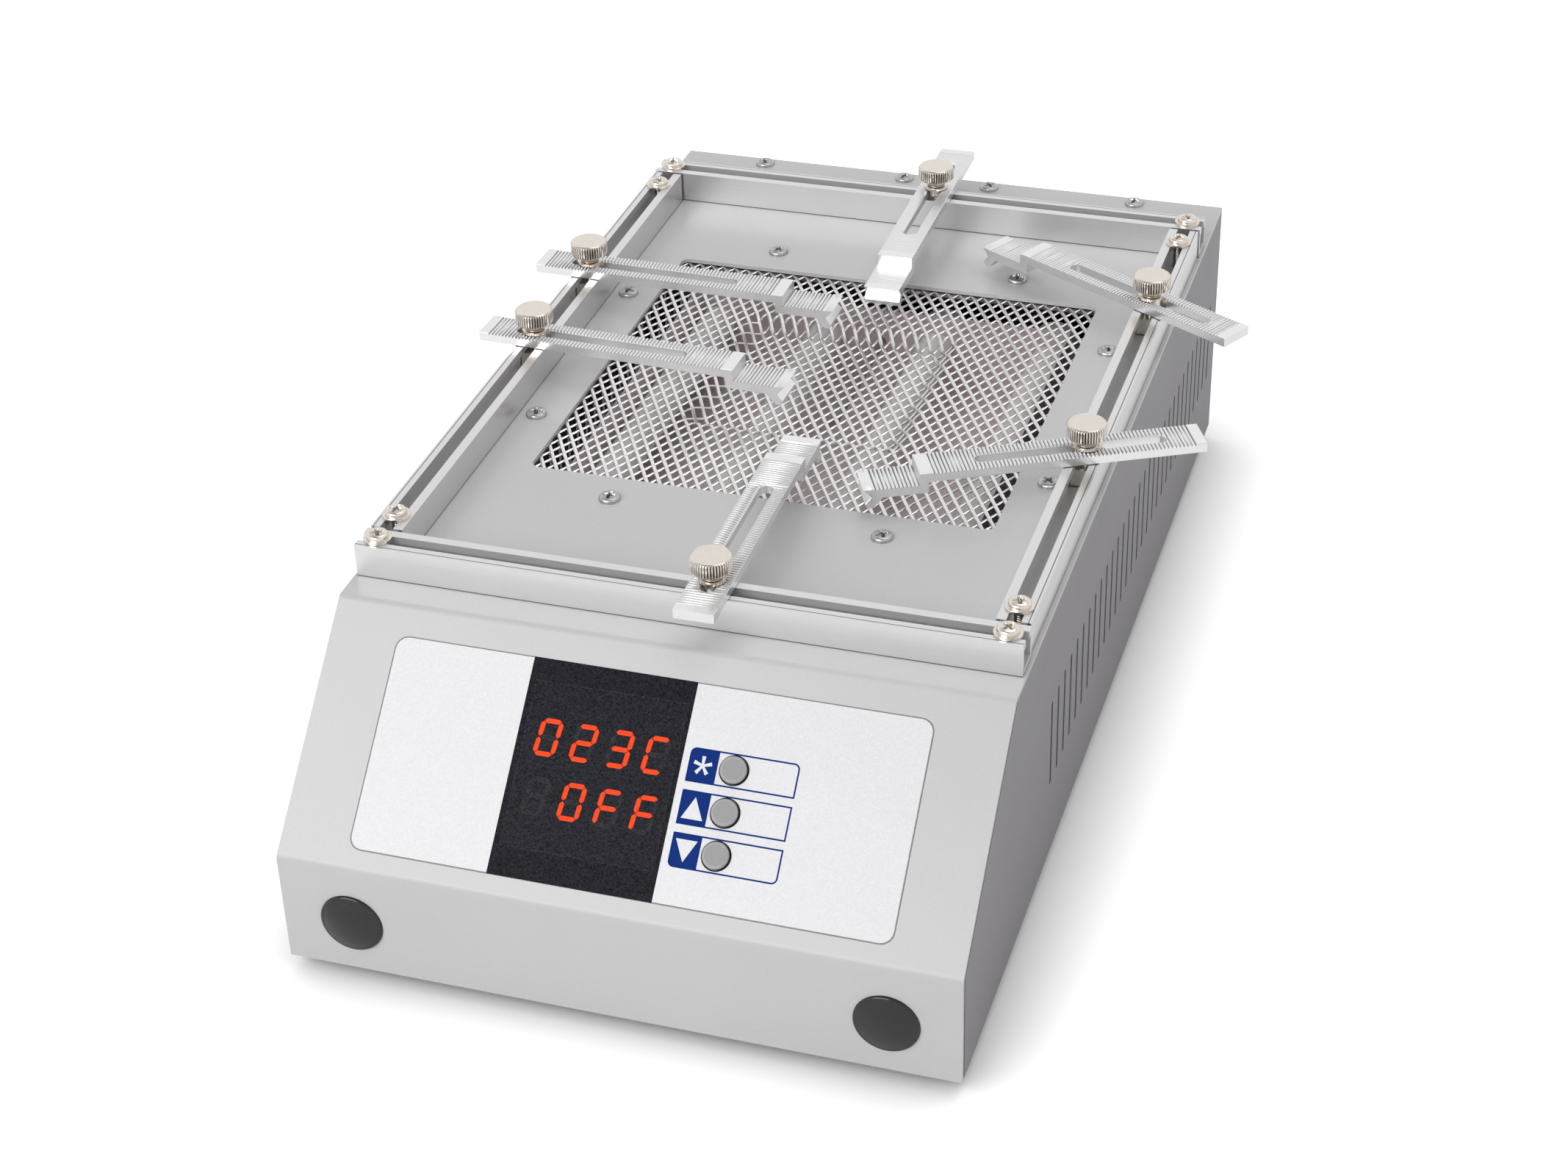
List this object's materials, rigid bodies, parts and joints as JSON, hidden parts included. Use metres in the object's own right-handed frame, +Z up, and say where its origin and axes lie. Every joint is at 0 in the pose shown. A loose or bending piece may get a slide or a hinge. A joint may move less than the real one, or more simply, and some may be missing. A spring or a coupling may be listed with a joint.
{
  "type": "pcb preheater",
  "caption": "Bench-top circuit board preheater: folded case with sloped control panel, quartz heater under a mesh window, slotted rails and sliding clamp arms.",
  "frame": {"origin": "on the table, under the middle of the case's footprint", "axes": "+X to the right seen from the control panel, +Y to the back, +Z up"},
  "size_m": [0.2217, 0.3526, 0.1072],
  "materials": {
    "case_light": "satin light-grey powder coat",
    "case_dark": "satin dark-grey powder coat",
    "rail_metal": "extruded, satin anodised",
    "arm_metal": "milled, clear anodised",
    "screw_metal": "nickel plated",
    "black_plastic": "moulded, glossy black",
    "rocker_plastic": "moulded, glossy black",
    "foot_rubber": "moulded, matte black",
    "mesh_metal": "expanded sheet, bright",
    "reflector_metal": "polished sheet, heat stained",
    "quartz": "milky quartz",
    "coil_metal": "drawn wire, dull",
    "ceramic": "unglazed white ceramic",
    "label_film": "fine-textured silver-white film",
    "smoked_lens": "smoked, fine-textured",
    "display_block": "dark epoxy face",
    "circuit_board": "green solder mask",
    "post_nylon": "natural nylon",
    "button_plastic": "moulded grey",
    "transformer_steel": "varnished laminations"
  },
  "bodies": {
    "case": {"base_tray": "case_dark", "rear_panel": "case_dark", "top_cover": "case_light", "front_rail": "rail_metal", "rear_rail": "rail_metal", "left_rail": "rail_metal", "right_rail": "rail_metal", "rail_screws": "screw_metal", "panel_screws": "screw_metal", "front_plugs": "black_plastic", "rubber_feet": "foot_rubber", "heater_mesh": "mesh_metal", "mesh_frame": "mesh_metal", "reflector_tray": "reflector_metal", "quartz_tubes": "quartz", "heating_coils": "coil_metal", "tube_end_caps": "ceramic", "thermocouple": "coil_metal", "heater_leads": "coil_metal", "panel_label": "label_film", "display_lens": "smoked_lens", "led_displays": "display_block", "control_board": "circuit_board", "tact_switches": "black_plastic", "board_posts": "post_nylon", "power_board": "circuit_board", "triac_heatsink": "reflector_metal", "transformer": "transformer_steel", "ribbon_cable": "post_nylon", "mains_inlet": "black_plastic", "fuse_holder": "black_plastic", "switch_housing": "black_plastic"},
    "select_key": {"select_button": "button_plastic"},
    "up_key": {"up_button": "button_plastic"},
    "down_key": {"down_button": "button_plastic"},
    "rocker": {"switch_rocker": "rocker_plastic"},
    "slider_left_back": {"nut_left_back": "screw_metal"},
    "knob_left_back": {"thumb_screw_left_back": "screw_metal"},
    "swivel_left_back": {"washer_left_back": "screw_metal"},
    "clamp_left_back": {"arm_left_back": "arm_metal"},
    "slider_left_front": {"nut_left_front": "screw_metal"},
    "knob_left_front": {"thumb_screw_left_front": "screw_metal"},
    "swivel_left_front": {"washer_left_front": "screw_metal"},
    "clamp_left_front": {"arm_left_front": "arm_metal"},
    "slider_back": {"nut_back": "screw_metal"},
    "knob_back": {"thumb_screw_back": "screw_metal"},
    "swivel_back": {"washer_back": "screw_metal"},
    "clamp_back": {"arm_back": "arm_metal"},
    "slider_right_back": {"nut_right_back": "screw_metal"},
    "knob_right_back": {"thumb_screw_right_back": "screw_metal"},
    "swivel_right_back": {"washer_right_back": "screw_metal"},
    "clamp_right_back": {"arm_right_back": "arm_metal"},
    "slider_right_front": {"nut_right_front": "screw_metal"},
    "knob_right_front": {"thumb_screw_right_front": "screw_metal"},
    "swivel_right_front": {"washer_right_front": "screw_metal"},
    "clamp_right_front": {"arm_right_front": "arm_metal"},
    "slider_front": {"nut_front": "screw_metal"},
    "knob_front": {"thumb_screw_front": "screw_metal"},
    "swivel_front": {"washer_front": "screw_metal"},
    "clamp_front": {"arm_front": "arm_metal"}
  },
  "joints": [
    {"name": "select_press", "type": "slide", "parent": "case", "child": "select_key", "axis": [0, -0.6815, 0.7318], "range_m": [-0.0008, 0], "stiffness_N_per_m": 600},
    {"name": "up_press", "type": "slide", "parent": "case", "child": "up_key", "axis": [0, -0.6815, 0.7318], "range_m": [-0.0008, 0], "stiffness_N_per_m": 600},
    {"name": "down_press", "type": "slide", "parent": "case", "child": "down_key", "axis": [0, -0.6815, 0.7318], "range_m": [-0.0008, 0], "stiffness_N_per_m": 600},
    {"name": "power_rocker", "type": "hinge", "parent": "case", "child": "rocker", "pos_m": [0.012, 0.1675, 0.031], "axis": [1, 0, 0], "range_deg": [0, 16]},
    {"name": "left_back_along_rail", "type": "slide", "parent": "case", "child": "slider_left_back", "axis": [0, 1, 0], "range_m": [-0.025, 0.025]},
    {"name": "left_back_screw_turn", "type": "hinge", "parent": "slider_left_back", "child": "knob_left_back", "pos_m": [-0.0867, 0.0584, 0.0967], "axis": [0, 0, 1], "continuous": true},
    {"name": "left_back_arm_swivel", "type": "hinge", "parent": "slider_left_back", "child": "swivel_left_back", "pos_m": [-0.0867, 0.0584, 0.0967], "axis": [0, 0, 1], "range_deg": [-20, 20]},
    {"name": "left_back_arm_reach", "type": "slide", "parent": "swivel_left_back", "child": "clamp_left_back", "axis": [0.9998, -0.0175, 0], "range_m": [-0.04, 0.002]},
    {"name": "left_front_along_rail", "type": "slide", "parent": "case", "child": "slider_left_front", "axis": [0, 1, 0], "range_m": [-0.08, 0.025]},
    {"name": "left_front_screw_turn", "type": "hinge", "parent": "slider_left_front", "child": "knob_left_front", "pos_m": [-0.0867, 0.0117, 0.0967], "axis": [0, 0, 1], "continuous": true},
    {"name": "left_front_arm_swivel", "type": "hinge", "parent": "slider_left_front", "child": "swivel_left_front", "pos_m": [-0.0867, 0.0117, 0.0967], "axis": [0, 0, 1], "range_deg": [-25, 20]},
    {"name": "left_front_arm_reach", "type": "slide", "parent": "swivel_left_front", "child": "clamp_left_front", "axis": [0.999, -0.0436, 0], "range_m": [-0.04, 0.002]},
    {"name": "back_along_rail", "type": "slide", "parent": "case", "child": "slider_back", "axis": [1, 0, 0], "range_m": [-0.06, 0.012]},
    {"name": "back_screw_turn", "type": "hinge", "parent": "slider_back", "child": "knob_back", "pos_m": [0.004, 0.1376, 0.0967], "axis": [0, 0, 1], "continuous": true},
    {"name": "back_arm_swivel", "type": "hinge", "parent": "slider_back", "child": "swivel_back", "pos_m": [0.004, 0.1376, 0.0967], "axis": [0, 0, 1], "range_deg": [-30, 12]},
    {"name": "back_arm_reach", "type": "slide", "parent": "swivel_back", "child": "clamp_back", "axis": [0.007, -1, 0], "range_m": [-0.03, 0.01]},
    {"name": "right_back_along_rail", "type": "slide", "parent": "case", "child": "slider_right_back", "axis": [0, 1, 0], "range_m": [-0.04, 0.008]},
    {"name": "right_back_screw_turn", "type": "hinge", "parent": "slider_right_back", "child": "knob_right_back", "pos_m": [0.0867, 0.0788, 0.0967], "axis": [0, 0, 1], "continuous": true},
    {"name": "right_back_arm_swivel", "type": "hinge", "parent": "slider_right_back", "child": "swivel_right_back", "pos_m": [0.0867, 0.0788, 0.0967], "axis": [0, 0, 1], "range_deg": [-12, 75]},
    {"name": "right_back_arm_reach", "type": "slide", "parent": "swivel_right_back", "child": "clamp_right_back", "axis": [-0.8746, 0.4848, 0], "range_m": [-0.026, 0.006]},
    {"name": "right_front_along_rail", "type": "slide", "parent": "case", "child": "slider_right_front", "axis": [0, 1, 0], "range_m": [-0.04, 0.03]},
    {"name": "right_front_screw_turn", "type": "hinge", "parent": "slider_right_front", "child": "knob_right_front", "pos_m": [0.0867, -0.013, 0.0967], "axis": [0, 0, 1], "continuous": true},
    {"name": "right_front_arm_swivel", "type": "hinge", "parent": "slider_right_front", "child": "swivel_right_front", "pos_m": [0.0867, -0.013, 0.0967], "axis": [0, 0, 1], "range_deg": [-60, 12]},
    {"name": "right_front_arm_reach", "type": "slide", "parent": "swivel_right_front", "child": "clamp_right_front", "axis": [-0.8926, -0.4509, 0], "range_m": [-0.026, 0.006]},
    {"name": "front_along_rail", "type": "slide", "parent": "case", "child": "slider_front", "axis": [1, 0, 0], "range_m": [-0.04, 0.008]},
    {"name": "front_screw_turn", "type": "hinge", "parent": "slider_front", "child": "knob_front", "pos_m": [0.008, -0.1043, 0.0967], "axis": [0, 0, 1], "continuous": true},
    {"name": "front_arm_swivel", "type": "hinge", "parent": "slider_front", "child": "swivel_front", "pos_m": [0.008, -0.1043, 0.0967], "axis": [0, 0, 1], "range_deg": [-10, 25]},
    {"name": "front_arm_reach", "type": "slide", "parent": "swivel_front", "child": "clamp_front", "axis": [-0.0052, 1, 0], "range_m": [-0.04, 0.002]}
  ]
}
